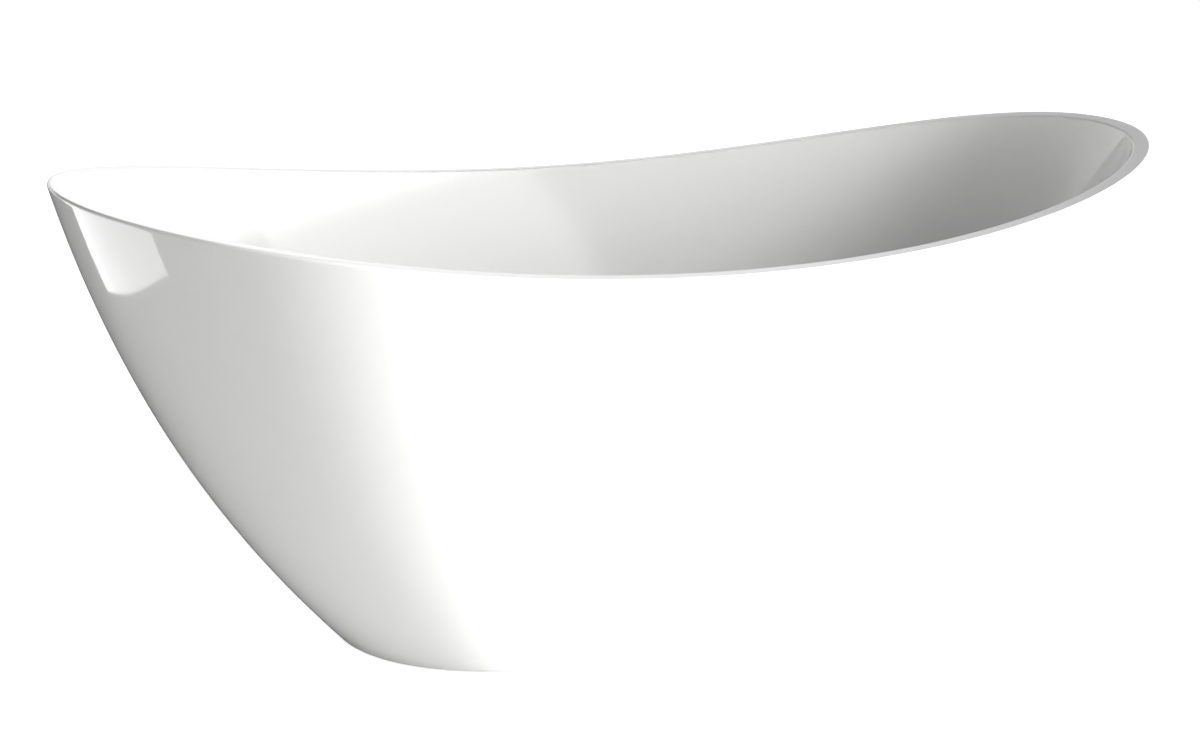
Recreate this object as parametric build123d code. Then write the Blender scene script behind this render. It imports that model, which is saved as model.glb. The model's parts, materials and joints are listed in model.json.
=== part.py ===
from build123d import *
import math
import os

# Freestanding double-slipper bath, millimetres. Origin on the floor under the middle of the bath,
# +X along its length, +Y towards the back, +Z up.

# Overall size
LENGTH = 1700
OVERALL_WIDTH = 845
RIM_MID = 611.6
RIM_RISE = 104.8
RIM_EASE = 7.7
RIM_REACH = 0.55 * LENGTH
RIM_STEPS = 8
SHELL_TOP = 750

# Outside of the skirt at four equally spaced heights from the floor to SHELL_TOP:
# half-length, half-width and fullness of the oval (0.552 is an ellipse, more is squarer)
OUTSIDE = [
    (521.5, 275.4, 0.604),
    (687.6, 345.1, 0.612),
    (796.1, 405.8, 0.620),
    (858.6, 430.7, 0.629),
]

# Control rings of the bathing hollow: height, half-length, half-width, fullness.
# The first two lie in the flat floor, so that the walls sweep up out of it.
FLOOR = 160
HOLLOW = [
    (FLOOR, 430, 190, 0.604),
    (FLOOR, 650, 303, 0.612),
    (SHELL_TOP, 862, 470, 0.620),
    (SHELL_TOP, 825, 382, 0.629),
]

# Acrylic
BASIN_WALL = 5.5
SKIRT_WALL = 6
RIM_THICK = 8
RIM_EDGE = 3.5
SKIRT_BOTTOM = 3

# Rim bond: a bead of resin in the corner under the rim
BOND_WIDE = 6
BOND_TALL = 7

# Baseboard under the basin floor
BOARD_LONG = 800
BOARD_WIDE = 340
BOARD_THICK = 15
BOARD_CORNER = 60
BOARD_HOLE_R = 45
BASIN_UNDER = FLOOR - BASIN_WALL
BOARD_UNDER = BASIN_UNDER - BOARD_THICK

# Steel frame of square tube: two long rails over four cross rails
TUBE = 30
TUBE_WALL = 2
RAIL_Y = 120
RAIL_HALF = 430
CROSS_X = [-380, -140, 140, 380]
CROSS_HALF = {380: 160, 140: 215}
RAIL_UNDER = BOARD_UNDER - TUBE
CROSS_UNDER = RAIL_UNDER - TUBE

# Plywood ring inside the foot of the skirt, and the brackets that hold it to the frame
RING_WIDE = 32
RING_TOP = 18
BRACKET_WIDE = 26
BRACKET_THICK = 3
BRACKET_REACH = {380: 34, 140: 44}
BRACKET_HOLE = 9

# Screws
SCREW_R = 2.5
SCREW_HEAD_R = 4.5
SCREW_HEAD = 2.5
SCREW_SLOT_LONG = 6
SCREW_SLOT_WIDE = 1
SCREW_SLOT_DEEP = 1
FRAME_SCREW_Y = 60
FRAME_SCREW_TIP = BASIN_UNDER - 4
RING_SCREW_TIP = 6

# Levelling feet: M12 studs in nuts welded under the outer cross rails
FOOT_X = 380
FOOT_Y = RAIL_Y
FOOT_PLACES = [(-FOOT_X, -FOOT_Y), (FOOT_X, -FOOT_Y), (FOOT_X, FOOT_Y), (-FOOT_X, FOOT_Y)]
STUD_R = 6
STUD_TIP = 1
STUD_HOLE_R = 7
THREAD_GAP = 0.05
SOLE_R = 27
SOLE_THICK = 4
SOLE_LIP = 8
PAD_R = 25
PAD_BASE = 12
PAD_TOP = 30
BOSS_R = 11
BOSS_FLARE = 3
PAD_BEVEL = 4
PAD_SLOPE = 3
PIVOT_R = 5
PIVOT_END = 12.3
COLLAR = (30.5, 38.5)
WRENCH = 17
NUT_WRENCH = 19
STUD_TOP = RAIL_UNDER - TUBE_WALL - 0.3
WELD_NUT = 10
LOCK_NUT = 7

# Waste, on the vertical axis through the origin
DRAIN_HOLE_R = 26
FLANGE_R = 35
FLANGE_THICK = 2.5
FLANGE_BEVEL = 1.2
SEAT_CONE = 3
UPPER_SEAL = 1
FLANGE_UNDER = FLOOR + UPPER_SEAL
FLANGE_TOP = FLANGE_UNDER + FLANGE_THICK
STEM_R = 23
STEM_BORE_R = 19
STEM_BOTTOM = 108
LOWER_SEAL = 3
SEAL_INSET = 1
SEAL_PLAY = 0.3
TEE_TOP = BASIN_UNDER - LOWER_SEAL
TEE_COLLAR_R = 37
TEE_COLLAR = 5
TEE_R = 28
TEE_BOTTOM = 72
TEE_SPIGOT = 30
TEE_PIPE_STOP = 4
CHAMBER_R = 18
PIPE_Z = 84
TAIL_R = 20
TAIL_BORE_R = 18
TAIL_BOTTOM = 25
TAIL_STOP = (46, 48)
TAIL_STOP_R = 21.5
TAIL_TOP = 80
SOCKET_R = 24
SOCKET_BOTTOM = 60

# Click-clack plug
CAP_R = 31
CAP_GAP = 0.8
CAP_EDGE = 2.2
CAP_DOME = 5
PLUG_NECK_R = 8
PLUG_NECK = 7
PLUG_COLLAR_R = 15.7
PLUG_SEAL_R = 18.7
PLUG_SEAL_TOP = 2
PLUG_SEAL_UNDER = 5.5
PIN_R = 4
PIN_BOTTOM = 140
CARTRIDGE_R = 7
CARTRIDGE = (130, 154)
CARTRIDGE_FLOOR = 2
SPRING_CHAMBER_R = 5.2
SPRING_R = 4
SPRING_WIRE = 0.45
SPRING_TURNS = 4
SPRING_PLAY = 0.2
HUB_R = 10
SPIDER = (145, 152)
SPOKE = 4
SPOKE_DROP = 2

# Overflow, let into the front wall; it lies on a plane that leans with the wall
OVERFLOW_Y = -394.6
OVERFLOW_Z = 525
OVERFLOW_LEAN = 14.7
DUCT_WIDE = 58
DUCT_DEEP = 12
DUCT_WALL = 1.8
DUCT_SIDE_PLAY = 2.3
DUCT_FACE_PLAY = 2.1
DUCT_START = 26
DUCT_END = 398
HOUSING_WIDE = 68
HOUSING_UP = 28
HOUSING_DOWN = 34
HOUSING_CORNER = 20
HOUSING_SKIN = 2
NECK_R = 21.5
NECK_BORE_R = 19
NECK_TOP = 12.2
STRUT = 8
STRUT_TOP = 11
STRUT_HUB_R = 6
OVERFLOW_SEAL_R = 31
OVERFLOW_SEAL_BORE_R = 22.5
OVERFLOW_SEAL_TOP = 12
OVERFLOW_HOLE_R = 22
COVER_R = 32
COVER_BACK = 14.8
COVER_THICK = 5
COVER_EDGE = 2
COVER_SKIN = 2
COVER_HUB_UNDER = 11.2
COVER_SLOT_WIDE = 3.5
COVER_SLOT_PITCH = 8
COVER_SLOT_DOWN = 13
COVER_SLOTS = {0: 20, 1: 16, 2: 16}
OVERFLOW_SCREW_R = 3
OVERFLOW_SCREW_START = 4
OVERFLOW_HEAD_R = 5.5
OVERFLOW_HEAD = 2.2
OVERFLOW_HEAD_BEVEL = 0.8
OVERFLOW_HEAD_SLOT = 1.2
OVERFLOW_PIPE_R = 13
OVERFLOW_PIPE_BORE_R = 11
SPIGOT_R = 18
ADAPTER_WIDE = 72
ADAPTER_WALL = 2.5
ADAPTER_FACE = -244
ADAPTER_UNDER = 66
ADAPTER_ROOF = 102
ADAPTER_SPIGOT = 24
ADAPTER_PIPE_STOP = 4

# Front and back of the adapter seen from its end, y and z: a leaning socket down to a level chamber
ADAPTER_FRONT = [(-303.5, 140), (-296, 110), (-280, ADAPTER_UNDER)]
ADAPTER_BACK = [(-276, 112), (-284, 140)]

# Slip nuts on the pipes
SLIP_LIP = 5
SLIP_WASHER = 5.5
SLIP_SKIRT = 16
SLIP_WRENCH = 42
TAIL_NUT_WRENCH = 56
TAIL_NUT_TOP = 65.5
NUT_PLAY = 0.4
WASHER_PLAY = 0.2
PIPE_PLAY = 0.2
PIPE_CUT = 80

QUADRANTS = [(1, 1), (-1, 1), (-1, -1), (1, -1)]

os.makedirs("parts", exist_ok=True)


def save(name, solid):
    export_step(solid, os.path.join("parts", name + ".step"))


def rod(radius, bottom, top, x=0, y=0):
    """Upright cylinder between two heights."""
    return Pos(x, y, bottom) * Cylinder(
        radius, top - bottom, align=(Align.CENTER, Align.CENTER, Align.MIN)
    )


def tube(radius, bore, bottom, top, x=0, y=0):
    return rod(radius, bottom, top, x, y) - rod(bore, bottom - 1, top + 1, x, y)


def hexagon(across_flats, bottom, top, x=0, y=0):
    """Upright hexagonal bar between two heights."""
    outline = RegularPolygon(across_flats / 2, 6, major_radius=False)
    return Pos(x, y, bottom) * extrude(outline, top - bottom)


def block(x_range, y_range, z_range):
    size = [high - low for low, high in (x_range, y_range, z_range)]
    return Pos(x_range[0], y_range[0], z_range[0]) * Box(
        *size, align=(Align.MIN, Align.MIN, Align.MIN)
    )


# ---------------------------------------------------------------- oval bodies


def ring_points(z, half_length, half_width, fullness, sx, sy):
    """Control points of a quarter oval, from the end of the bath round to its side."""
    return [
        Vector(sx * half_length, 0, z),
        Vector(sx * half_length, sy * fullness * half_width, z),
        Vector(sx * fullness * half_length, sy * half_width, z),
        Vector(0, sy * half_width, z),
    ]


def oval_face(ring):
    quarters = [Edge.make_bezier(*ring_points(*ring, sx, sy)) for sx, sy in QUADRANTS]
    return Face(Wire(quarters))


def oval_body(rings):
    """Solid whose walls are one smooth patch per quadrant over four control rings."""
    walls = [
        Face.make_bezier_surface([ring_points(*ring, sx, sy) for ring in rings])
        for sx, sy in QUADRANTS
    ]
    return Solid(Shell(walls + [oval_face(rings[0]), oval_face(rings[-1])]))


def outside_rings(inset=0):
    """Control rings of the cubic that passes through the four OUTSIDE stations."""
    first, second, third, last = [Vector(length, width, full) for length, width, full in OUTSIDE]
    controls = [
        first,
        (first * -5 + second * 18 - third * 9 + last * 2) / 6,
        (first * 2 - second * 9 + third * 18 - last * 5) / 6,
        last,
    ]
    return [
        (SHELL_TOP * i / 3, ring.X - inset, ring.Y - inset, ring.Z)
        for i, ring in enumerate(controls)
    ]


def hollow_rings(wall=0):
    """Control rings of the bathing hollow, or of its outside when given a wall thickness."""
    return [
        (z - wall if z == FLOOR else z, length + wall, width + wall, full)
        for z, length, width, full in HOLLOW
    ]


def rim_height(x):
    """The rim dips from both ends to the middle."""
    u = x / (LENGTH / 2)
    return RIM_MID + RIM_RISE * u**2 - RIM_EASE * u**4


def below_rim(drop=0):
    """Everything lower than the rim surface lowered by drop."""
    stations = [RIM_REACH * i / RIM_STEPS for i in range(-RIM_STEPS, RIM_STEPS + 1)]
    points = [(x, rim_height(x) - drop) for x in stations]
    with BuildPart() as tool:
        with BuildSketch(Plane.XZ):
            with BuildLine():
                Spline(*points)
                Polyline(points[-1], (RIM_REACH, -1), (-RIM_REACH, -1), points[0])
            make_face()
        extrude(amount=OVERALL_WIDTH, both=True)
    return tool.part


def rim_edges(solid):
    """The edges that lie in the rim surface."""
    found = ShapeList()
    for edge in solid.edges():
        middle = edge @ 0.5
        if abs(middle.Z - rim_height(middle.X)) < 0.4 and edge.length > 100:
            found.append(edge)
    return found


# ---------------------------------------------------------------- shells

overflow_plane = Plane(
    origin=(0, OVERFLOW_Y, OVERFLOW_Z),
    x_dir=(1, 0, 0),
    z_dir=(0, math.cos(math.radians(OVERFLOW_LEAN)), math.sin(math.radians(OVERFLOW_LEAN))),
)


def make_basin_shell():
    """Inner acrylic shell with its rolled-over rim."""
    rim = (oval_body(outside_rings()) & below_rim()) - below_rim(RIM_THICK)
    bowl = oval_body(hollow_rings(BASIN_WALL)) & below_rim()
    shell = (rim + bowl) - oval_body(hollow_rings())
    shell = fillet(rim_edges(shell), RIM_EDGE)
    shell -= rod(DRAIN_HOLE_R, BASIN_UNDER - 1, FLOOR + 1)
    shell -= overflow_plane * rod(OVERFLOW_HOLE_R, 0, 2 * COVER_BACK)
    return shell


def make_outer_shell():
    """Skirt, bonded under the rim all round."""
    skirt = oval_body(outside_rings()) - oval_body(outside_rings(SKIRT_WALL))
    skirt &= below_rim(RIM_THICK)
    return skirt - block((-LENGTH, LENGTH), (-LENGTH, LENGTH), (-1, SKIRT_BOTTOM))


def make_rim_bond():
    """Resin bead in the corner between the skirt and the underside of the rim."""
    band = below_rim(RIM_THICK) - below_rim(RIM_THICK + BOND_TALL)
    inner = oval_body(outside_rings(SKIRT_WALL)) - oval_body(outside_rings(SKIRT_WALL + BOND_WIDE))
    return inner & band


# ---------------------------------------------------------------- base


def frame_screw_places():
    return [(x, sy * FRAME_SCREW_Y) for x in CROSS_X for sy in (-1, 1)]


def ring_screw_places():
    """One screw through the foot of each bracket."""
    return [
        (x, sy * (CROSS_HALF[abs(x)] + BRACKET_REACH[abs(x)] - BRACKET_HOLE))
        for x in CROSS_X
        for sy in (-1, 1)
    ]


def make_base_board():
    board = Pos(0, 0, BOARD_UNDER) * extrude(
        RectangleRounded(BOARD_LONG, BOARD_WIDE, BOARD_CORNER), BOARD_THICK
    )
    board -= rod(BOARD_HOLE_R, BOARD_UNDER - 1, BASIN_UNDER + 1)
    for x, y in frame_screw_places():
        board -= rod(SCREW_R, BOARD_UNDER - 1, FRAME_SCREW_TIP, x, y)
    return board


def make_long_rail(y):
    """Square tube under the baseboard, lying on the cross rails."""
    rail = block((-RAIL_HALF, RAIL_HALF), (y - TUBE / 2, y + TUBE / 2), (RAIL_UNDER, BOARD_UNDER))
    inner = TUBE / 2 - TUBE_WALL
    return rail - block(
        (-RAIL_HALF - 1, RAIL_HALF + 1),
        (y - inner, y + inner),
        (RAIL_UNDER + TUBE_WALL, BOARD_UNDER - TUBE_WALL),
    )


def make_cross_rail(x):
    half = CROSS_HALF[abs(x)]
    rail = block((x - TUBE / 2, x + TUBE / 2), (-half, half), (CROSS_UNDER, RAIL_UNDER))
    inner = TUBE / 2 - TUBE_WALL
    rail -= block(
        (x - inner, x + inner),
        (-half - 1, half + 1),
        (CROSS_UNDER + TUBE_WALL, RAIL_UNDER - TUBE_WALL),
    )
    for y in (-FRAME_SCREW_Y, FRAME_SCREW_Y):
        rail -= rod(SCREW_R, CROSS_UNDER - 1, RAIL_UNDER + 1, x, y)
    for foot_x, foot_y in FOOT_PLACES:
        rail -= rod(STUD_HOLE_R, CROSS_UNDER - 1, CROSS_UNDER + TUBE_WALL + 1, foot_x, foot_y)
    return rail


def make_skirt_ring():
    """Plywood ring bonded inside the foot of the skirt."""
    ring = oval_body(outside_rings(SKIRT_WALL)) - oval_body(outside_rings(SKIRT_WALL + RING_WIDE))
    ring &= block((-LENGTH, LENGTH), (-LENGTH, LENGTH), (SKIRT_BOTTOM, RING_TOP))
    for x, y in ring_screw_places():
        ring -= rod(SCREW_R, RING_SCREW_TIP, RING_TOP + 1, x, y)
    return ring


def make_brackets():
    """Angle brackets from the ends of the cross rails down to the skirt ring."""
    brackets = []
    for x in CROSS_X:
        half = CROSS_HALF[abs(x)]
        reach = half + BRACKET_REACH[abs(x)]
        x_range = (x - BRACKET_WIDE / 2, x + BRACKET_WIDE / 2)
        for side in (-1, 1):
            leg = block(x_range, (half, half + BRACKET_THICK), (RING_TOP, RAIL_UNDER))
            foot = block(x_range, (half, reach), (RING_TOP, RING_TOP + BRACKET_THICK))
            bracket = leg + foot
            bracket -= rod(
                SCREW_R, RING_TOP - 1, RING_TOP + BRACKET_THICK + 1, x, reach - BRACKET_HOLE
            )
            brackets.append(bracket if side == 1 else mirror(bracket, Plane.XZ))
    return Compound(brackets)


def screw(x, y, under_head, tip, up=1):
    """Pan-head screw; up is 1 when the shank points up from the head."""
    shank = rod(SCREW_R, min(under_head, tip), max(under_head, tip), x, y)
    head_end = under_head - up * SCREW_HEAD
    head = rod(SCREW_HEAD_R, min(under_head, head_end), max(under_head, head_end), x, y)
    long, wide = SCREW_SLOT_LONG / 2, SCREW_SLOT_WIDE / 2
    slot_z = (head_end - SCREW_SLOT_DEEP, head_end + SCREW_SLOT_DEEP)
    return shank + head - block((x - long, x + long), (y - wide, y + wide), slot_z)


def make_frame_screws():
    return Compound(
        [screw(x, y, CROSS_UNDER, FRAME_SCREW_TIP) for x, y in frame_screw_places()]
    )


def make_ring_screws():
    top = RING_TOP + BRACKET_THICK
    return Compound([screw(x, y, top, RING_SCREW_TIP, up=-1) for x, y in ring_screw_places()])


# ---------------------------------------------------------------- feet


def make_foot_nuts(top, height):
    nuts = []
    for x, y in FOOT_PLACES:
        nut = hexagon(NUT_WRENCH, top - height, top, x, y)
        nuts.append(nut - rod(STUD_R + THREAD_GAP, top - height - 1, top + 1, x, y))
    return Compound(nuts)


def make_foot_stud(x, y):
    """Threaded stud with spanner flats and a plain pivot that turns in the pad."""
    stud = rod(PIVOT_R, PIVOT_END, COLLAR[0], x, y) + hexagon(WRENCH, *COLLAR, x, y)
    thread = chamfer(rod(STUD_R, COLLAR[1], STUD_TOP, x, y).edges().group_by(Axis.Z)[-1], STUD_TIP)
    return stud + thread


def make_foot_pad(x, y):
    with BuildPart() as pad:
        with BuildSketch(Plane.XZ):
            with BuildLine():
                Polyline(
                    (0, SOLE_THICK),
                    (PAD_R, SOLE_THICK),
                    (PAD_R, PAD_BASE - PAD_SLOPE),
                    (PAD_R - PAD_BEVEL, PAD_BASE),
                    (BOSS_R + BOSS_FLARE, PAD_BASE + PAD_SLOPE),
                    (BOSS_R, PAD_TOP),
                    (0, PAD_TOP),
                    close=True,
                )
            make_face()
        revolve(axis=Axis.Z)
    return Pos(x, y, 0) * (pad.part - rod(PIVOT_R + THREAD_GAP, PAD_BASE, PAD_TOP + 1))


def make_foot_sole(x, y):
    """Rubber cup under the pad."""
    return rod(SOLE_R, 0, SOLE_LIP, x, y) - rod(PAD_R, SOLE_THICK, SOLE_LIP + 1, x, y)


# ---------------------------------------------------------------- waste


def make_drain_flange():
    """Flanged waste with a conical seat, a threaded stem and spokes that carry the cartridge."""
    flange = rod(FLANGE_R, FLANGE_UNDER, FLANGE_TOP)
    flange = chamfer(flange.edges().group_by(Axis.Z)[-1], FLANGE_BEVEL)
    flange += rod(STEM_R, STEM_BOTTOM, FLANGE_UNDER)
    flange -= rod(STEM_BORE_R, STEM_BOTTOM - 1, FLANGE_TOP + 1)
    flange -= Pos(0, 0, FLANGE_TOP - SEAT_CONE) * Cone(
        STEM_BORE_R,
        STEM_BORE_R + SEAT_CONE,
        SEAT_CONE,
        align=(Align.CENTER, Align.CENTER, Align.MIN),
    )
    low, high = SPIDER
    spider = rod(HUB_R, low, high)
    spoke = block(
        (-STEM_BORE_R - 1, STEM_BORE_R + 1), (-SPOKE / 2, SPOKE / 2), (low, high - SPOKE_DROP)
    )
    for turn in (0, 60, 120):
        spider += Rot(0, 0, turn) * spoke
    return flange + spider - rod(CARTRIDGE_R, low - 1, high + 1)


def make_drain_tee():
    """Waste body under the basin, with a side spigot for the overflow."""
    tee = rod(TEE_COLLAR_R, TEE_TOP - TEE_COLLAR, TEE_TOP) + rod(TEE_R, TEE_BOTTOM, TEE_TOP)
    tee += rod(SOCKET_R, SOCKET_BOTTOM, TAIL_TOP)
    tee += front_spigot(0, TEE_R + TEE_SPIGOT)
    tee -= rod(STEM_R + THREAD_GAP, STEM_BOTTOM, TEE_TOP + 1)
    tee -= rod(CHAMBER_R, TAIL_TOP, STEM_BOTTOM + 1)
    tee -= rod(TAIL_R + THREAD_GAP, SOCKET_BOTTOM - 1, TAIL_TOP)
    tee -= front_spigot(0, TEE_R + TEE_SPIGOT + 1, OVERFLOW_PIPE_BORE_R)
    return tee - front_spigot(TEE_R + TEE_PIPE_STOP, TEE_SPIGOT, OVERFLOW_PIPE_R + THREAD_GAP)


def front_spigot(start, length, radius=SPIGOT_R):
    """Level cylinder on the overflow pipe's axis, from y = -start towards the front."""
    return Pos(0, -start - length / 2, PIPE_Z) * Rot(90, 0, 0) * Cylinder(radius, length)


def front_hexagon(start, length, across_flats):
    bar = extrude(RegularPolygon(across_flats / 2, 6, major_radius=False), length)
    return Pos(0, -start, PIPE_Z) * Rot(90, 0, 0) * bar


def make_tail_pipe():
    """Outlet with a bead that stops the next pipe's socket."""
    pipe = rod(TAIL_R, TAIL_BOTTOM, TAIL_TOP) + rod(TAIL_STOP_R, *TAIL_STOP)
    return pipe - rod(TAIL_BORE_R, TAIL_BOTTOM - 1, TAIL_TOP + 1)


def make_tail_nut():
    low = SOCKET_BOTTOM - SLIP_WASHER - SLIP_LIP
    nut = hexagon(TAIL_NUT_WRENCH, low, TAIL_NUT_TOP)
    nut -= rod(SOCKET_R + THREAD_GAP, low + SLIP_LIP, TAIL_TOP)
    return nut - rod(TAIL_R + NUT_PLAY, low - 1, low + SLIP_LIP + 1)


def make_tail_washer():
    low = SOCKET_BOTTOM - SLIP_WASHER
    return tube(SOCKET_R - WASHER_PLAY, TAIL_R + THREAD_GAP, low, SOCKET_BOTTOM)


def make_plug():
    """Domed cap that lifts on its pin."""
    low = FLANGE_TOP + CAP_GAP
    rise = CAP_DOME - CAP_EDGE
    dome_r = (CAP_R**2 + rise**2) / (2 * rise)
    cap = rod(CAP_R, low, low + CAP_DOME + 1) & Pos(0, 0, low + CAP_DOME - dome_r) * Sphere(dome_r)
    neck = rod(PLUG_NECK_R, low - PLUG_NECK, low)
    collar = rod(PLUG_COLLAR_R, low - PLUG_NECK, low - PLUG_SEAL_UNDER)
    return cap + neck + collar - rod(PIN_R, low - PLUG_NECK - 1, low)


def make_plug_seal():
    """Rubber ring round the plug's neck, on its lower collar."""
    low = FLANGE_TOP + CAP_GAP
    return tube(PLUG_SEAL_R, PLUG_NECK_R, low - PLUG_SEAL_UNDER, low - PLUG_SEAL_TOP)


def make_plug_pin():
    return rod(PIN_R, PIN_BOTTOM, FLANGE_TOP + CAP_GAP)


def make_cartridge():
    low, high = CARTRIDGE
    body = rod(CARTRIDGE_R, low, high)
    body -= rod(SPRING_CHAMBER_R, low + CARTRIDGE_FLOOR, PIN_BOTTOM + 1)
    return body - rod(PIN_R + THREAD_GAP, PIN_BOTTOM, high + 1)


def make_spring():
    bottom = CARTRIDGE[0] + CARTRIDGE_FLOOR + SPRING_WIRE
    height = PIN_BOTTOM - SPRING_WIRE - SPRING_PLAY - bottom
    path = Pos(0, 0, bottom) * Helix(height / SPRING_TURNS, height, SPRING_R)
    return sweep(Plane(origin=path @ 0, z_dir=path % 0) * Circle(SPRING_WIRE), path)


# ---------------------------------------------------------------- overflow


def leaning(shape):
    """Places a shape drawn on the overflow plane: x along the bath, y down the wall, z inwards."""
    return overflow_plane * shape


def make_overflow_housing():
    deep = DUCT_DEEP / 2
    body = block((-HOUSING_WIDE / 2, HOUSING_WIDE / 2), (-HOUSING_UP, HOUSING_DOWN), (-deep, deep))
    body = fillet(body.edges().filter_by(Axis.Z).group_by(Axis.Y)[0], HOUSING_CORNER)
    inner = DUCT_WIDE / 2
    room = deep - HOUSING_SKIN
    body -= block((-inner, inner), (-inner, HOUSING_DOWN + 1), (-room, room))
    body += rod(NECK_R, deep - 1, NECK_TOP)
    body -= rod(NECK_BORE_R, 0, NECK_TOP + 1)
    strut = block((-STRUT / 2, STRUT / 2), (-NECK_R + 1, NECK_R - 1), (deep, STRUT_TOP))
    strut += rod(STRUT_HUB_R, deep, STRUT_TOP)
    return leaning(body + strut - rod(OVERFLOW_SCREW_R, 0, STRUT_TOP + 1))


def make_overflow_seal(basin):
    """Rubber washer that fills the space between the housing and the back of the wall."""
    ring = leaning(
        tube(OVERFLOW_SEAL_R, OVERFLOW_SEAL_BORE_R, DUCT_DEEP / 2, OVERFLOW_SEAL_TOP)
    )
    return (ring - basin).solids().sort_by(Axis.Y)[0]


def make_overflow_cover():
    """Chromed disc with a row of slots and a hollow back."""
    top = COVER_BACK + COVER_THICK
    cover = rod(COVER_R, COVER_BACK, top)
    cover = fillet(cover.edges().group_by(Axis.Z)[-1], COVER_EDGE)
    cover -= rod(COVER_R - COVER_SKIN, COVER_BACK - 1, top - COVER_SKIN)
    for i in range(-2, 3):
        slot = SlotOverall(COVER_SLOTS[abs(i)], COVER_SLOT_WIDE, rotation=90)
        place = Pos(i * COVER_SLOT_PITCH, COVER_SLOT_DOWN, COVER_BACK)
        cover -= place * extrude(slot, COVER_THICK + 1)
    cover += rod(STRUT_HUB_R, COVER_HUB_UNDER, top - 1)
    return leaning(cover - rod(OVERFLOW_SCREW_R, COVER_HUB_UNDER - 1, top + 1))


def make_overflow_screw():
    top = COVER_BACK + COVER_THICK
    head = rod(OVERFLOW_HEAD_R, top, top + OVERFLOW_HEAD)
    head = chamfer(head.edges().group_by(Axis.Z)[-1], OVERFLOW_HEAD_BEVEL)
    half = OVERFLOW_HEAD_SLOT / 2
    slot_floor = top + OVERFLOW_HEAD - SCREW_SLOT_DEEP
    slot = block(
        (-OVERFLOW_HEAD_R - 1, OVERFLOW_HEAD_R + 1), (-half, half), (slot_floor, slot_floor + 2)
    )
    return leaning(head + rod(OVERFLOW_SCREW_R, OVERFLOW_SCREW_START, top) - slot)


def make_overflow_duct():
    """Flat duct down between the two walls."""
    outer = DUCT_WIDE / 2 - DUCT_SIDE_PLAY
    inner = outer - DUCT_WALL
    deep = DUCT_DEEP / 2 - DUCT_FACE_PLAY
    bore = deep - DUCT_WALL / 2
    duct = block((-outer, outer), (DUCT_START, DUCT_END), (-deep, deep))
    hollow = block((-inner, inner), (DUCT_START - 1, DUCT_END + 1), (-bore, bore))
    return leaning(duct - hollow)


def adapter_outline(inset):
    """Side outline of the adapter, or of the space inside it when inset by the wall."""
    (top_y, top_z), (bend_y, bend_z), (toe_y, toe_z) = ADAPTER_FRONT
    (knee_y, knee_z), (mouth_y, mouth_z) = ADAPTER_BACK
    return [
        (top_y + inset, top_z),
        (bend_y + inset, bend_z),
        (toe_y + inset, toe_z + inset),
        (ADAPTER_FACE - inset, ADAPTER_UNDER + inset),
        (ADAPTER_FACE - inset, ADAPTER_ROOF - inset),
        (knee_y - inset, knee_z - inset),
        (mouth_y - inset, mouth_z),
    ]


def make_duct_adapter():
    """Turns the flat duct into a round spigot that faces the waste."""
    bodies = []
    for inset, wide in ((0, ADAPTER_WIDE), (ADAPTER_WALL, ADAPTER_WIDE - 2 * ADAPTER_WALL)):
        outline = Polyline(*adapter_outline(inset), close=True)
        bodies.append(extrude(Plane.YZ * make_face(outline), wide / 2, both=True))
    mouth = -ADAPTER_FACE - ADAPTER_SPIGOT
    spigot = front_spigot(mouth, ADAPTER_SPIGOT)
    bore = front_spigot(mouth - 1, ADAPTER_SPIGOT + 6, OVERFLOW_PIPE_BORE_R)
    seat_deep = ADAPTER_SPIGOT - ADAPTER_PIPE_STOP
    seat = front_spigot(mouth - 1, seat_deep + 1, OVERFLOW_PIPE_R + THREAD_GAP)
    return (bodies[0] + spigot) - bodies[1] - bore - seat


def make_overflow_pipe():
    start = TEE_R + TEE_PIPE_STOP + PIPE_PLAY
    end = -ADAPTER_FACE - ADAPTER_PIPE_STOP - PIPE_PLAY
    pipe = front_spigot(start, end - start, OVERFLOW_PIPE_R)
    return pipe - front_spigot(start - 1, end - start + 2, OVERFLOW_PIPE_BORE_R)


def slip_nut(mouth, towards):
    """Slip nut on a spigot that ends at y = -mouth and points towards +y (1) or -y (-1)."""
    reach = SLIP_WASHER + SLIP_LIP
    start = mouth - reach if towards > 0 else mouth - SLIP_SKIRT
    nut = front_hexagon(start, reach + SLIP_SKIRT, SLIP_WRENCH)
    thread_start = mouth - SLIP_WASHER if towards > 0 else mouth - SLIP_SKIRT - 1
    nut -= front_spigot(thread_start, SLIP_WASHER + SLIP_SKIRT + 1, SPIGOT_R + THREAD_GAP)
    return nut - front_spigot(mouth - PIPE_CUT / 2, PIPE_CUT, OVERFLOW_PIPE_R + NUT_PLAY)


def slip_washer(mouth, towards):
    start = mouth - SLIP_WASHER if towards > 0 else mouth
    washer = front_spigot(start, SLIP_WASHER, SPIGOT_R - WASHER_PLAY)
    return washer - front_spigot(mouth - PIPE_CUT / 2, PIPE_CUT, OVERFLOW_PIPE_R + THREAD_GAP)


SPIGOT_MOUTHS = [(TEE_R + TEE_SPIGOT, -1), (-ADAPTER_FACE - ADAPTER_SPIGOT, 1)]


# ---------------------------------------------------------------- write every piece

basin_shell = make_basin_shell()
save("basin_shell", basin_shell)
save("outer_shell", make_outer_shell())
save("rim_bond", make_rim_bond())
save("base_board", make_base_board())
save("front_rail", make_long_rail(-RAIL_Y))
save("back_rail", make_long_rail(RAIL_Y))
for number, rail_x in enumerate(CROSS_X, 1):
    save(f"cross_rail_{number}", make_cross_rail(rail_x))
save("skirt_ring", make_skirt_ring())
save("skirt_brackets", make_brackets())
save("frame_screws", make_frame_screws())
save("skirt_ring_screws", make_ring_screws())

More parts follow.
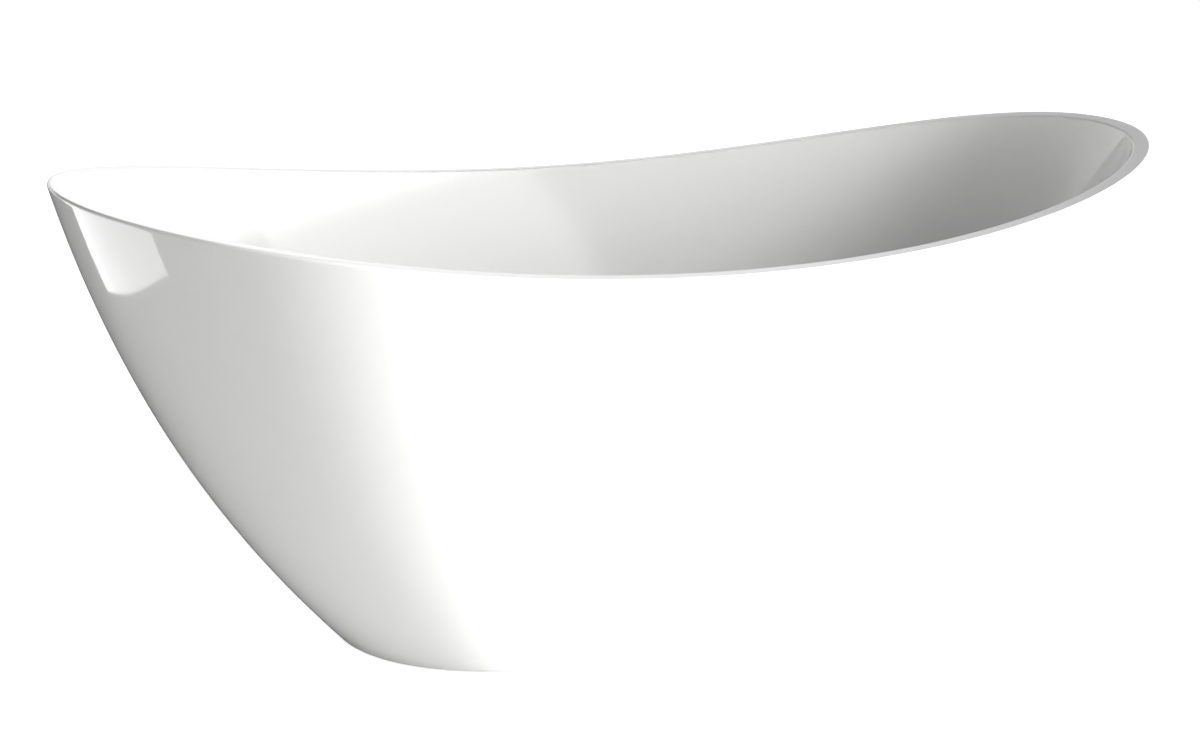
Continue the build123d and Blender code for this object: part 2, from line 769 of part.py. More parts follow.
save("foot_weld_nuts", make_foot_nuts(CROSS_UNDER, WELD_NUT))
save("foot_lock_nuts", make_foot_nuts(CROSS_UNDER - WELD_NUT, LOCK_NUT))
for number, place in enumerate(FOOT_PLACES, 1):
    save(f"foot_stud_{number}", make_foot_stud(*place))
    save(f"foot_pad_{number}", make_foot_pad(*place))
    save(f"foot_sole_{number}", make_foot_sole(*place))

save("drain_flange", make_drain_flange())
save("drain_upper_seal", tube(FLANGE_R - SEAL_INSET, STEM_R + SEAL_PLAY, FLOOR, FLANGE_UNDER))
save(
    "drain_lower_seal",
    tube(TEE_COLLAR_R - SEAL_INSET, STEM_R + SEAL_PLAY, TEE_TOP, BASIN_UNDER),
)
save("drain_tee", make_drain_tee())
save("tail_pipe", make_tail_pipe())
save("tail_pipe_nut", make_tail_nut())
save("tail_pipe_washer", make_tail_washer())
save("drain_plug", make_plug())
save("plug_seal", make_plug_seal())
save("plug_pin", make_plug_pin())
save("click_cartridge", make_cartridge())
save("cartridge_spring", make_spring())

save("overflow_housing", make_overflow_housing())
save("overflow_seal", make_overflow_seal(basin_shell))
save("overflow_cover", make_overflow_cover())
save("overflow_screw", make_overflow_screw())
save("overflow_duct", make_overflow_duct())
save("duct_adapter", make_duct_adapter())
save("overflow_pipe", make_overflow_pipe())
save("overflow_pipe_nuts", Compound([slip_nut(*mouth) for mouth in SPIGOT_MOUTHS]))
save("overflow_pipe_washers", Compound([slip_washer(*mouth) for mouth in SPIGOT_MOUTHS]))
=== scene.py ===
import json
import math

import bmesh
import bpy
from bpy.props import FloatProperty, FloatVectorProperty, IntProperty, PointerProperty
from mathutils import Matrix, Vector


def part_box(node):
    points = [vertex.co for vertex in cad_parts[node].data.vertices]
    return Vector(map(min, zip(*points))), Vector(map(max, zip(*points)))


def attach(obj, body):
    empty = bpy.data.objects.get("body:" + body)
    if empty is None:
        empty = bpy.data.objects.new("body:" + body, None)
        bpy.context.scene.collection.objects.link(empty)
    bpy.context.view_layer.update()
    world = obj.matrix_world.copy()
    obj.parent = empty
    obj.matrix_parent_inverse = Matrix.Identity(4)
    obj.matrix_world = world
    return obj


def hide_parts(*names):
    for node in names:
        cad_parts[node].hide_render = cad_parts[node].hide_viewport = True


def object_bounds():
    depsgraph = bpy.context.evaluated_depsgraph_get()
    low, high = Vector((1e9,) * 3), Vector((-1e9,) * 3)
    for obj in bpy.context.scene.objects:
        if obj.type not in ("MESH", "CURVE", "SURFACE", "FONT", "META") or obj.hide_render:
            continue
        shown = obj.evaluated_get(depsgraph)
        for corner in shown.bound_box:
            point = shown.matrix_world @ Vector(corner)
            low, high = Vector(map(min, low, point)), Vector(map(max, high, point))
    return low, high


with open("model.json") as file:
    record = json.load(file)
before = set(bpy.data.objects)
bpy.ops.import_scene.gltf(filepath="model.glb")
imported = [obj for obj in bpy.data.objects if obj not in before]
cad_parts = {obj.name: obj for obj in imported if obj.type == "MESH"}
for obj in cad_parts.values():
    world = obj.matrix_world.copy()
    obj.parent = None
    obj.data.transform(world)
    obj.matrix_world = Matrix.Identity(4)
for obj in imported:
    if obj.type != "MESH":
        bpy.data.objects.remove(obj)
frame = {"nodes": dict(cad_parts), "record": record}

bl_info = {
    "name": "Freestanding slipper bath",
    "version": (1, 0, 0),
    "blender": (4, 5, 0),
    "location": "View3D > Sidebar > Bath",
    "description": "Shells, fittings, finishes and studio for a slipper bath on its CAD frame",
    "category": "Object",
}

FRAME_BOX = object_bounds()
MM = 0.001
ORIGIN = (0, 0, 0)
UP = (0, 0, 1)
ARC_STEPS = 8
MERGE_DISTANCE = 1e-6

# -------- settings


def length(name, millimetres, description):
    return FloatProperty(
        name=name, description=description, default=millimetres * MM, unit="LENGTH", precision=4
    )


def colour(name, value, description):
    return FloatVectorProperty(
        name=name, description=description, default=value, size=3, subtype="COLOR", min=0, max=1
    )


def level(name, value, description):
    """Brightness or strength, never below nothing."""
    return FloatProperty(name=name, description=description, default=value, min=0)


def angle(name, degrees, description):
    return FloatProperty(
        name=name, description=description, default=math.radians(degrees), subtype="ANGLE"
    )


def place(name, metres, description):
    return FloatVectorProperty(
        name=name, description=description, default=metres, subtype="TRANSLATION"
    )


def oval(name, half_length, half_width, height, fullness, description):
    values = (height * MM, half_length * MM, half_width * MM, fullness)
    return FloatVectorProperty(name=name, description=description, default=values, size=4)


class BathShape(bpy.types.PropertyGroup):
    """Sizes of the acrylic shells; each oval holds height, half-length, half-width and fullness"""

    segments: IntProperty(
        name="Segments", description="Divisions round the shells", default=288, min=64, max=512
    )
    rim_mid: length("Rim at the middle", 611.59, "Height of the rim half way along")
    rim_rise: length("Rim rise", 104.8, "How far the rim climbs towards the ends")
    rim_ease: length("Rim ease", 7.7, "How far that climb eases off at the very ends")
    rim_thick: length("Rim thickness", 8, "Depth of the rolled rim")
    rim_edge: length("Rim edge radius", 3.5, "Rounding of the rim's two edges")
    basin_wall: length("Basin wall", 5.5, "Thickness of the inner shell")
    skirt_wall: length("Skirt wall", 6, "Thickness of the outer shell")
    skirt_bottom: length("Skirt bottom", 3, "Gap between the floor and the skirt")
    skirt_edge: length("Skirt edge", 1.2, "Rounding of the skirt's lower edge")
    drain_hole: length("Drain hole radius", 26, "Hole in the floor of the basin")
    outside_1: oval("Outside 1", 521.5, 275.4, 0, 0.604, "Skirt at floor level")
    outside_2: oval("Outside 2", 687.6, 345.1, 250, 0.612, "Skirt a third of the way up")
    outside_3: oval("Outside 3", 796.1, 405.8, 500, 0.620, "Skirt two thirds of the way up")
    outside_4: oval("Outside 4", 858.6, 430.7, 750, 0.629, "Skirt above the rim")
    hollow_1: oval("Hollow 1", 430, 190, 160, 0.604, "Edge of the flat floor")
    hollow_2: oval("Hollow 2", 650, 303, 160, 0.612, "Sweep up out of the floor")
    hollow_3: oval("Hollow 3", 862, 470, 750, 0.620, "Swell of the walls")
    hollow_4: oval("Hollow 4", 825, 382, 750, 0.629, "Lean of the walls at the rim")


class FittingSizes(bpy.types.PropertyGroup):
    """Sizes of the small fittings that are modelled anew"""

    overflow_place: place(
        "Overflow place", (0, -0.3946, 0.525), "Origin of the overflow in the front wall"
    )
    overflow_lean: angle("Overflow lean", 14.7, "How far the overflow leans back from upright")
    overflow_hole: length("Overflow hole", 22, "Radius of the hole in the wall")
    cover_radius: length("Cover radius", 32, "Radius of the overflow cover")
    cover_back: length("Cover back", 14.8, "Back edge of the cover, inwards from its place")
    cover_top: length("Cover top", 19.8, "Face of the cover, inwards from its place")
    cover_skin: length("Cover skin", 2, "Thickness of the cover and radius of its edge")
    hub_back: length("Hub back", 11.2, "Back of the hub behind the cover")
    thread_pitch: length("Thread pitch", 1.75, "Rise of an M12 thread in one turn")
    thread_deep: length("Thread depth", 0.95, "Crest to root of the thread")
    cap_edge: length("Cap edge", 1.1, "Rounding of the plug's rim")
    slot_wide: length("Slot width", 3.5, "Width of the overflow slots")
    slot_apart: length("Slot spacing", 8, "From one overflow slot to the next")
    sole_ribs: IntProperty(
        name="Sole ribs", description="Ribs round each rubber sole", default=36, min=8, max=72
    )


class FinishColours(bpy.types.PropertyGroup):
    """Colours of the finishes"""

    acrylic: colour("Acrylic", (0.855, 0.855, 0.85), "Gloss white sanitary acrylic")
    backing: colour("Backing", (0.62, 0.6, 0.52), "Glass-fibre backing of the shells")
    resin: colour("Resin", (0.72, 0.69, 0.58), "Cured bonding resin")
    ply_face: colour("Plywood face", (0.56, 0.36, 0.19), "Birch face veneer")
    ply_edge: colour("Plywood edge", (0.28, 0.15, 0.07), "Dark plies in the edge")
    frame_coat: colour("Frame coat", (0.16, 0.165, 0.17), "Grey powder coat")
    zinc: colour("Zinc", (0.62, 0.64, 0.66), "Bright zinc plate")
    nylon: colour("Nylon", (0.045, 0.045, 0.048), "Black nylon")
    rubber: colour("Rubber", (0.022, 0.022, 0.024), "Black rubber")
    chrome: colour("Chrome", (0.88, 0.885, 0.89), "Chrome plate")
    pipe: colour("Pipe", (0.74, 0.745, 0.74), "White polypropylene")
    nut: colour("Nuts", (0.66, 0.67, 0.67), "Grey-white polypropylene")
    brass: colour("Brass", (0.72, 0.5, 0.2), "Turned brass")
    spring: colour("Spring", (0.5, 0.49, 0.47), "Stainless spring wire")


def soft_light(name, place, side, description):
    """Middle of a soft light and the side of its square."""
    return FloatVectorProperty(name=name, description=description, default=(*place, side), size=4)


def power(name, watts, description):
    return FloatProperty(name=name, description=description, default=watts, min=0, unit="POWER")


class StudioSettings(bpy.types.PropertyGroup):
    """Floor, light and camera"""

    floor_colour: colour("Floor", (0.9, 0.9, 0.895), "Pale studio floor")
    floor_glow: level("Floor glow", 0.8, "Whiteness that the floor shows to the camera")
    floor_size: FloatProperty(
        name="Floor size", description="Side of the floor", default=90, unit="LENGTH"
    )
    sky: level("Sky", 0.15, "Brightness overhead")
    horizon: level("Horizon", 1.2, "Brightness near the horizon")
    key: soft_light("Key", (5.0, -3.1, 0.5), 1.2, "Strong low light at the front right")
    key_power: power("Key power", 1200, "Power of the key light")
    front: soft_light("Front", (2.6, -3.2, 2.1), 2.6, "Broad light above the front right")
    front_power: power("Front power", 50, "Power of the front light")
    top: soft_light("Top", (3.4, -1.9, 2.8), 1.4, "Light above the right end, for the inside")
    top_power: power("Top power", 110, "Power of the top light")
    card: soft_light("Card", (-1.75, 0.27, 0.33), 1.1, "Bright card that shows only as a gleam")
    card_power: power("Card power", 14, "Power of the bright card")
    camera_aim: place("Aim", (-0.0835, 0, 0.36145), "Where the camera looks")
    camera_away: FloatProperty(
        name="Away", description="From the camera to its aim", default=2.1407, unit="LENGTH"
    )
    camera_yaw: angle("Yaw", 21.79, "Turn of the view to the right")
    camera_pitch: angle("Pitch", 18.18, "How far the view looks down")
    lens: FloatProperty(name="Lens", description="Focal length", default=41.1, unit="CAMERA")


# -------- oval bodies


def cubic(values, t):
    """Point of a cubic curve over four control values."""
    a, b, c, d = values
    s = 1 - t
    return a * s**3 + b * (3 * s * s * t) + c * (3 * s * t * t) + d * t**3


class OvalBody:
    """A smooth wall over four control rings, each a height, half-length, half-width and fullness"""

    def __init__(self, rings, shape):
        self.rings = rings
        self.heights = [ring[0] for ring in rings]
        self.shape = shape
        self.rim_shares = {}

    def at(self, turn, share):
        """Point at a turn round the body, 0 at its +X end, and a share of the way up."""
        quarter = turn * 4 % 4
        u = quarter % 1
        if int(quarter) % 2:
            u = 1 - u
        side_x = -1 if 1 < quarter <= 3 else 1
        side_y = -1 if quarter > 2 else 1
        along = cubic([cubic((a, a, k * a, 0), u) for _, a, _, k in self.rings], share)
        across = cubic([cubic((0, k * b, b, b), u) for _, _, b, k in self.rings], share)
        return Vector((side_x * along, side_y * across, cubic(self.heights, share)))

    def share_at(self, height):
        """The share of the way up at which the wall reaches a height."""
        low, high = 0.0, 1.0
        for _ in range(24):
            middle = (low + high) / 2
            if cubic(self.heights, middle) < height:
                low = middle
            else:
                high = middle
        return (low + high) / 2

    def rim_share(self, turn, drop=0.0):
        """The share of the way up at which the wall meets the rim surface lowered by drop."""
        key = (round(turn, 6), round(drop, 6))
        if key not in self.rim_shares:
            share = self.share_at(self.shape.rim_mid)
            for _ in range(5):
                share = self.share_at(rim_height(self.shape, self.at(turn, share).x) - drop)
            self.rim_shares[key] = share
        return self.rim_shares[key]

    def at_rim(self, turn, drop=0.0):
        return self.at(turn, self.rim_share(turn, drop))


def rim_height(shape, x):
    """The rim dips from both ends to the middle."""
    u = x / FRAME_BOX[1][0]
    return shape.rim_mid + shape.rim_rise * u**2 - shape.rim_ease * u**4


def outside(shape, inset=0.0):
    """Body through the four stations of the skirt, or its inside when given a wall thickness."""
    stations = (shape.outside_1, shape.outside_2, shape.outside_3, shape.outside_4)
    p = [Vector(station) for station in stations]
    low = (p[0] * -5 + p[1] * 18 - p[2] * 9 + p[3] * 2) / 6
    high = (p[0] * 2 - p[1] * 9 + p[2] * 18 - p[3] * 5) / 6
    return OvalBody([(z, a - inset, b - inset, k) for z, a, b, k in (p[0], low, high, p[3])], shape)


def hollow(shape, wall=0.0):
    """Body of the bathing hollow, or of its back when given a wall thickness."""
    floor = shape.hollow_1[0]
    rings = (shape.hollow_1, shape.hollow_2, shape.hollow_3, shape.hollow_4)
    walls = [(z - wall if z == floor else z, a + wall, b + wall, k) for z, a, b, k in rings]
    return OvalBody(walls, shape)


def eased(count):
    """Shares from 0 to 1 that lie closer together at both ends."""
    return [(1 - math.cos(math.pi * i / count)) / 2 for i in range(count + 1)]


def round_corner(before, corner, after, radius):
    """Points of an arc that rounds a corner between two straight runs."""
    to_before, to_after = (before - corner).normalized(), (after - corner).normalized()
    angle = to_before.angle(to_after)
    reach = radius / math.tan(angle / 2)
    handle = reach - radius * 4 / 3 * math.tan((math.pi - angle) / 4)
    run = (
        corner + to_before * reach,
        corner + to_before * handle,
        corner + to_after * handle,
        corner + to_after * reach,
    )
    return [cubic(run, i / ARC_STEPS) for i in range(ARC_STEPS + 1)]


def quarter_turn(first=0):
    """Angles of a quarter turn, from its start or from a later step."""
    return [math.radians(90 * i / ARC_STEPS) for i in range(first, ARC_STEPS + 1)]


# -------- mesh helpers


def mesh_from(name, bm):
    """A mesh that takes over a bmesh."""
    mesh = bpy.data.meshes.new(name)
    bm.to_mesh(mesh)
    bm.free()
    return mesh


def add_object(name, data):
    """A new object in the scene's own collection."""
    made = bpy.data.objects.new(name, data)
    bpy.context.scene.collection.objects.link(made)
    return made


def bar(bm, sides, radius, depth, turn=Matrix()):
    """Adds a closed bar along Z, centred on the origin, and gives its vertices."""
    made = bmesh.ops.create_cone(
        bm, cap_ends=True, segments=sides, radius1=radius, radius2=radius, depth=depth, matrix=turn
    )
    return made["verts"]


def closed_loft(segments, ring_points, backing):
    """Tube of rings that closes on itself; ring_points(turn) lists one point for each ring.

    The rings numbered in backing are marked as the shell's raw back."""
    columns = [ring_points(i / segments) for i in range(segments)]
    rings = len(columns[0])
    bm = bmesh.new()
    number = bm.verts.layers.int.new("column")
    back = bm.verts.layers.float.new("backing")
    bmesh.ops.create_circle(bm, cap_ends=False, segments=segments, radius=1)
    bm.verts.ensure_lookup_table()
    for i, vert in enumerate(bm.verts):
        vert[number] = i
        vert.co = columns[i][0]
    first = list(bm.edges)
    edges = first
    for ring in range(1, rings):
        made = bmesh.ops.extrude_edge_only(bm, edges=edges)["geom"]
        for vert in (item for item in made if isinstance(item, bmesh.types.BMVert)):
            vert.co = columns[vert[number]][ring]
            vert[back] = float(ring in backing)
        new_edges = [item for item in made if isinstance(item, bmesh.types.BMEdge)]
        edges = [edge for edge in new_edges if edge.verts[0][number] != edge.verts[1][number]]
    bmesh.ops.bridge_loops(bm, edges=first + edges)
    bm.verts.layers.int.remove(number)
    return bm


def turned(profile, steps=96):
    """Solid of revolution about Z from (radius, height) points; ends on the axis are closed."""
    bm = bmesh.new()
    verts = [bm.verts.new((radius, 0, height)) for radius, height in profile]
    edges = [bm.edges.new(pair) for pair in zip(verts, verts[1:])]
    if profile[0][0] > 0 and profile[-1][0] > 0:
        edges.append(bm.edges.new((verts[-1], verts[0])))
    geom = verts + edges
    bmesh.ops.spin(
        bm, geom=geom, cent=ORIGIN, axis=UP, angle=math.tau, steps=steps, use_merge=True
    )
    bmesh.ops.remove_doubles(bm, verts=bm.verts, dist=MERGE_DISTANCE)
    return bm


def finish_piece(name, bm, body, replaced, slot, sharp=34):
    """Makes an object of a bmesh and hangs it on its body; edges over sharp degrees stay hard."""
    bmesh.ops.recalc_face_normals(bm, faces=bm.faces)
    limit = math.radians(sharp)
    for face in bm.faces:
        face.smooth = True
    for edge in bm.edges:
        edge.smooth = len(edge.link_faces) == 2 and edge.calc_face_angle() < limit
    mesh = mesh_from(name, bm)
    piece = add_object(name, mesh)
    mesh.materials.append(finish(slot))
    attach(piece, body)
    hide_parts(*replaced)
    return piece


def cut(piece, cutter_bm):
    """Takes a closed bmesh away from a piece."""
    mesh = mesh_from("cutter", cutter_bm)
    cutter = add_object("cutter", mesh)
    modifier = piece.modifiers.new("cut", "BOOLEAN")
    modifier.operation = "DIFFERENCE"
    modifier.object = cutter
    modifier.solver = "EXACT"
    with bpy.context.temp_override(object=piece, active_object=piece):
        bpy.ops.object.modifier_apply(modifier=modifier.name)
    bpy.data.objects.remove(cutter)
    bpy.data.meshes.remove(mesh)


# -------- finishes


MIX_COLOUR_INPUTS = (0, 6, 7)
MIX_COLOUR_OUTPUT = 2


class Recipe:
    """A node tree being filled: nodes by type, with their inputs set or linked by name"""

    def __init__(self, tree):
        self.tree = tree

    def put(self, socket, value):
        """Links a socket to another, or sets its value; a colour may leave out its alpha."""
        if isinstance(value, bpy.types.NodeSocket):
            self.tree.links.new(value, socket)
        elif socket.type == "RGBA" and len(value) == 3:
            socket.default_value = (*value, 1)
        else:
            socket.default_value = value

    def fill(self, node, **inputs):
        """Puts values in a node's inputs by name, with _ for spaces."""
        for key, value in inputs.items():
            self.put(node.inputs[key.replace("_", " ")], value)

    def add(self, kind, settings=None, **inputs):
        """Adds a node with its settings and inputs."""
        node = self.tree.nodes.new(kind)
        for key, value in (settings or {}).items():
            setattr(node, key, value)
        self.fill(node, **inputs)
        return node

    def group(self, tree, **inputs):
        """Outputs of a node group, with its inputs filled."""
        return self.add("ShaderNodeGroup", {"node_tree": tree}, **inputs).outputs

    def mix(self, share, one, other):
        """Blend of two colours by a mask."""
        node = self.add("ShaderNodeMix", {"data_type": "RGBA"})
        for index, value in zip(MIX_COLOUR_INPUTS, (share, one, other)):
            self.put(node.inputs[index], value)
        return node.outputs[MIX_COLOUR_OUTPUT]

    def math(self, operation, one, other=0.0, clamp=False):
        """Result of a sum on one or two values."""
        node = self.add("ShaderNodeMath", {"operation": operation, "use_clamp": clamp})
        self.put(node.inputs[0], one)
        self.put(node.inputs[1], other)
        return node.outputs[0]

    def times(self, one, other, clamp=False):
        return self.math("MULTIPLY", one, other, clamp)

    def plus(self, one, other):
        return self.math("ADD", one, other)

    def part(self, vector, axis):
        """One part of a vector."""
        return self.add("ShaderNodeSeparateXYZ", Vector=vector).outputs[axis]

    def place(self, scale=(1, 1, 1)):
        """Object coordinates, stretched by a scale."""
        where = self.add("ShaderNodeTexCoord").outputs["Object"]
        return self.add("ShaderNodeMapping", Vector=where, Scale=scale).outputs["Vector"]

    def facing(self):
        """The way the surface faces."""
        return self.add("ShaderNodeNewGeometry").outputs["Normal"]

    def noise(self, scale, detail=3.0, rough=0.5, where=None, twist=0.0):
        """Soft noise between 0 and 1."""
        return self.add(
            "ShaderNodeTexNoise",
            Vector=where or self.place(),
            Scale=scale,
            Detail=detail,
            Roughness=rough,
            Distortion=twist,
        ).outputs["Fac"]

    def drift(self, scale, one, other):
        """Colour that wanders between two tints."""
        return self.group(uneven_tint(), Scale=scale, One=one, Other=other)["Color"]

    def gloss(self, scale, smoothest, roughest):
        """Roughness of a surface that has been handled."""
        sockets = self.group(
            handled_gloss(), Scale=scale, Smoothest=smoothest, Roughest=roughest
        )
        return sockets["Roughness"]

    def dust(self, scale, amount):
        """Mask of the dust on faces that look up."""
        return self.group(settled_dust(), Scale=scale, Amount=amount)["Mask"]

    def pebbles(self, scale):
        """Height of a fine pebbled skin."""
        return self.group(pebbled(), Scale=scale)["Height"]

    def bump(self, height, strength, distance, normal=None):
        """Normal tipped by a height, over another normal when one is given."""
        node = self.add("ShaderNodeBump", Height=height, Strength=strength, Distance=distance)
        if normal:
            self.put(node.inputs["Normal"], normal)
        return node.outputs["Normal"]


def node_group(name, inputs, outputs, build):
    """A shader node group with named sockets, built the first time it is asked for."""
    if name in bpy.data.node_groups:
        return bpy.data.node_groups[name]
    tree = bpy.data.node_groups.new(name, "ShaderNodeTree")
    for label, kind, default in inputs:
        socket = tree.interface.new_socket(label, in_out="INPUT", socket_type=kind)
        socket.default_value = default
    for label, kind in outputs:
        tree.interface.new_socket(label, in_out="OUTPUT", socket_type=kind)
    recipe = Recipe(tree)
    given = recipe.add("NodeGroupInput").outputs
    out = recipe.add("NodeGroupOutput")
    for label, socket in build(recipe, given).items():
        tree.links.new(socket, out.inputs[label])
    return tree


FLOAT, TINT = "NodeSocketFloat", "NodeSocketColor"


def handled_gloss():
    """Roughness that drifts softly and holds faint wipe marks."""

    def build(recipe, given):
        broad = recipe.noise(given["Scale"], detail=4, rough=0.55)
        fine = recipe.noise(recipe.times(given["Scale"], 9.0), detail=3, rough=0.6)
        ramp = recipe.add(
            "ShaderNodeMapRange",
            Value=recipe.plus(recipe.times(broad, 0.7), recipe.times(fine, 0.3)),
            From_Min=0.3,
            From_Max=0.7,
            To_Min=given["Smoothest"],
            To_Max=given["Roughest"],
        )
        return {"Roughness": ramp.outputs["Result"]}

    inputs = [("Scale", FLOAT, 4.0), ("Smoothest", FLOAT, 0.1), ("Roughest", FLOAT, 0.2)]
    return node_group("handled gloss", inputs, [("Roughness", FLOAT)], build)


def uneven_tint():
    """Colour that drifts between two tints."""

    def build(recipe, given):
        share = recipe.noise(given["Scale"], detail=5, rough=0.6)
        ramp = recipe.add("ShaderNodeMapRange", Value=share, From_Min=0.3, From_Max=0.7)
        return {"Color": recipe.mix(ramp.outputs["Result"], given["One"], given["Other"])}

    inputs = [("Scale", FLOAT, 5.0), ("One", TINT, (1, 1, 1, 1)), ("Other", TINT, (1, 1, 1, 1))]
    return node_group("uneven tint", inputs, [("Color", TINT)], build)


def settled_dust():
    """Mask of dust that lies on faces that look up, in soft patches."""

    def build(recipe, given):
        up = recipe.part(recipe.facing(), "Z")
        patches = recipe.noise(given["Scale"], detail=6, rough=0.65)
        lying = recipe.times(up, patches, clamp=True)
        return {"Mask": recipe.times(lying, given["Amount"], clamp=True)}

    inputs = [("Scale", FLOAT, 12.0), ("Amount", FLOAT, 0.5)]
    return node_group("settled dust", inputs, [("Mask", FLOAT)], build)


def pebbled():
    """Height of a fine pebbled skin, as on moulded plastic or powder coat."""

    def build(recipe, given):
        where = recipe.place()
        cells = recipe.add(
            "ShaderNodeTexVoronoi", {"feature": "SMOOTH_F1"}, Vector=where, Scale=given["Scale"]
        )
        soft = recipe.noise(given["Scale"], detail=2, rough=0.5, where=where)
        return {"Height": recipe.plus(cells.outputs["Distance"], recipe.times(soft, 0.6))}

    return node_group("pebbled skin", [("Scale", FLOAT, 900.0)], [("Height", FLOAT)], build)


def new_finish(name):
    """A new material, the recipe of its nodes and its Principled shader."""
    material = bpy.data.materials.new(name)
    material.use_nodes = True
    recipe = Recipe(material.node_tree)
    shader = material.node_tree.nodes["Principled BSDF"]
    return material, recipe, shader


def lighter(value, factor):
    """A colour times a factor, darker below 1."""
    return tuple(min(1, channel * factor) for channel in value)


def acrylic_finish(colours):
    """White gloss, with glass-fibre matting where a shell shows its raw back."""
    material, recipe, shader = new_finish("acrylic")
    back = recipe.add("ShaderNodeAttribute", {"attribute_name": "backing"}).outputs["Fac"]
    raw = recipe.math("GREATER_THAN", back, 0.5)
    white = recipe.drift(scale=2.5, one=colours.acrylic, other=lighter(colours.acrylic, 0.985))
    fibres = recipe.noise(70.0, detail=5.0, rough=0.7, where=recipe.place((1, 1, 6)), twist=3.0)
    matting = recipe.mix(fibres, lighter(colours.backing, 0.72), lighter(colours.backing, 1.2))
    base = recipe.mix(raw, white, matting)
    gloss = recipe.gloss(scale=3.0, smoothest=0.05, roughest=0.1)
    rough = recipe.plus(gloss, recipe.times(raw, 0.5))
    ripple = recipe.noise(5.5, detail=1.0, rough=0.4)
    smooth = recipe.bump(ripple, strength=0.18, distance=0.0009)
    lay_up = recipe.times(fibres, raw)
    recipe.fill(
        shader,
        Base_Color=base,
        Roughness=rough,
        Normal=recipe.bump(lay_up, strength=0.8, distance=0.0012, normal=smooth),
        IOR=1.49,
        Coat_Weight=0.25,
        Coat_Roughness=0.03,
    )
    return material


def resin_finish(colours):
    """Cured resin, blotched and slightly see-through."""
    material, recipe, shader = new_finish("bonding_resin")
    recipe.fill(
        shader,
        Base_Color=recipe.drift(scale=22.0, one=lighter(colours.resin, 0.8), other=colours.resin),
        Roughness=recipe.gloss(scale=30.0, smoothest=0.22, roughest=0.5),
        Normal=recipe.bump(recipe.noise(90.0), strength=0.6, distance=0.0015),
        Subsurface_Weight=0.12,
    )
    return material


PLY = 1.3 * MM
PLY_WANDER = 0.6 * MM
DARK_PLY = 0.78 * MM


def plywood_finish(colours):
    """Veneer grain on the faces and thin plies round the edges."""
    material, recipe, shader = new_finish("plywood")
    grain = recipe.noise(3.2, detail=8, rough=0.62, where=recipe.place((3, 42, 42)))
    pores = recipe.noise(16.0, detail=6, rough=0.7, where=recipe.place((2, 60, 60)))
    waves = {"Scale": 14.0, "Distortion": 9.0, "Detail": 3.0, "Detail_Scale": 1.2}
    along = recipe.place((0.25, 1, 1))
    figure = recipe.add("ShaderNodeTexWave", {"bands_direction": "Y"}, Vector=along, **waves)
    veneer = recipe.mix(grain, lighter(colours.ply_face, 0.72), lighter(colours.ply_face, 1.22))
    bands = recipe.times(figure.outputs["Fac"], 0.35)
    veneer = recipe.mix(bands, veneer, lighter(colours.ply_face, 0.66))
    height = recipe.plus(recipe.part(recipe.place(), "Z"), recipe.times(grain, PLY_WANDER))
    dark = recipe.math("GREATER_THAN", recipe.math("PINGPONG", height, PLY), DARK_PLY)
    plies = recipe.mix(dark, colours.ply_face, colours.ply_edge)
    upright = recipe.math("ABSOLUTE", recipe.part(recipe.facing(), "Z"))
    is_edge = recipe.math("LESS_THAN", upright, 0.6)
    recipe.fill(
        shader,
        Base_Color=recipe.mix(is_edge, veneer, plies),
        Roughness=recipe.gloss(scale=18.0, smoothest=0.5, roughest=0.75),
        Normal=recipe.bump(pores, strength=0.5, distance=0.0004),
    )
    return material


def coated_steel_finish(colours):
    """Grey powder coat with dust on its upper faces."""
    material, recipe, shader = new_finish("frame_steel")
    coat = colours.frame_coat
    tint = recipe.drift(scale=9.0, one=coat, other=lighter(coat, 1.25))
    dust = recipe.dust(scale=14.0, amount=0.55)
    base = recipe.mix(dust, tint, (0.42, 0.4, 0.36))
    gloss = recipe.gloss(scale=8.0, smoothest=0.3, roughest=0.48)
    recipe.fill(
        shader,
        Base_Color=base,
        Roughness=recipe.plus(gloss, recipe.times(dust, 0.3)),
        Normal=recipe.bump(recipe.pebbles(620.0), strength=0.35, distance=0.0003),
    )
    return material


def zinc_finish(colours):
    """Bright plating with the soft crystal patches that zinc leaves."""
    material, recipe, shader = new_finish("zinc_steel")
    patches = recipe.add(
        "ShaderNodeTexVoronoi", {"feature": "F1"}, Vector=recipe.place(), Scale=260.0
    )
    shade = recipe.part(patches.outputs["Color"], "X")
    base = recipe.mix(shade, lighter(colours.zinc, 0.82), lighter(colours.zinc, 1.12))
    gloss = recipe.gloss(scale=60.0, smoothest=0.26, roughest=0.42)
    recipe.fill(
        shader,
        Base_Color=base,
        Roughness=recipe.plus(gloss, recipe.times(shade, 0.08)),
        Normal=recipe.bump(recipe.noise(500.0), strength=0.25, distance=0.0002),
        Metallic=1.0,
    )
    return material


def moulded_finish(name, tint, smoothest, roughest, pebbles, sheen):
    """Moulded plastic or rubber with a fine pebbled skin."""
    material, recipe, shader = new_finish(name)
    drift = recipe.drift(scale=16.0, one=lighter(tint, 0.9), other=lighter(tint, 1.08))
    dust = recipe.dust(scale=25.0, amount=0.3)
    recipe.fill(
        shader,
        Base_Color=recipe.mix(dust, drift, (0.5, 0.48, 0.44)),
        Roughness=recipe.gloss(scale=22.0, smoothest=smoothest, roughest=roughest),
        Normal=recipe.bump(recipe.pebbles(pebbles), strength=0.4, distance=0.0002),
        Sheen_Weight=sheen,
    )
    return material


